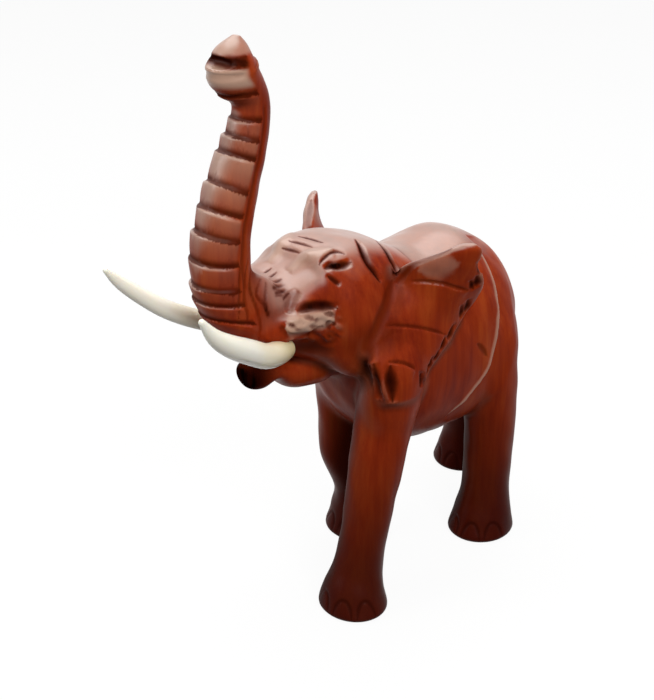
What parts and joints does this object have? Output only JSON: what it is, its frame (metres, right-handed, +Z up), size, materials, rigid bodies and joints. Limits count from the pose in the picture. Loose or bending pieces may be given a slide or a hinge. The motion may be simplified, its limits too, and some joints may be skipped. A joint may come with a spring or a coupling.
{
  "type": "elephant figurine",
  "caption": "Carved wooden elephant walking with its trunk raised, ringed trunk, flared scalloped ears and two inset curved tusks; a shelf ornament that stands on flat soles.",
  "frame": {"origin": "On the floor, at the centre of the footprint of the whole piece's bounding box.", "axes": "+X is the elephant's left, its face looks along -Y, and +Z is up."},
  "size_m": [0.101, 0.226, 0.253],
  "materials": {
    "stained_hardwood": "gloss varnish",
    "ivory_resin": "polished"
  },
  "bodies": {
    "root": {"carved_body": "stained_hardwood", "left_tusk": "ivory_resin", "right_tusk": "ivory_resin"}
  },
  "joints": []
}
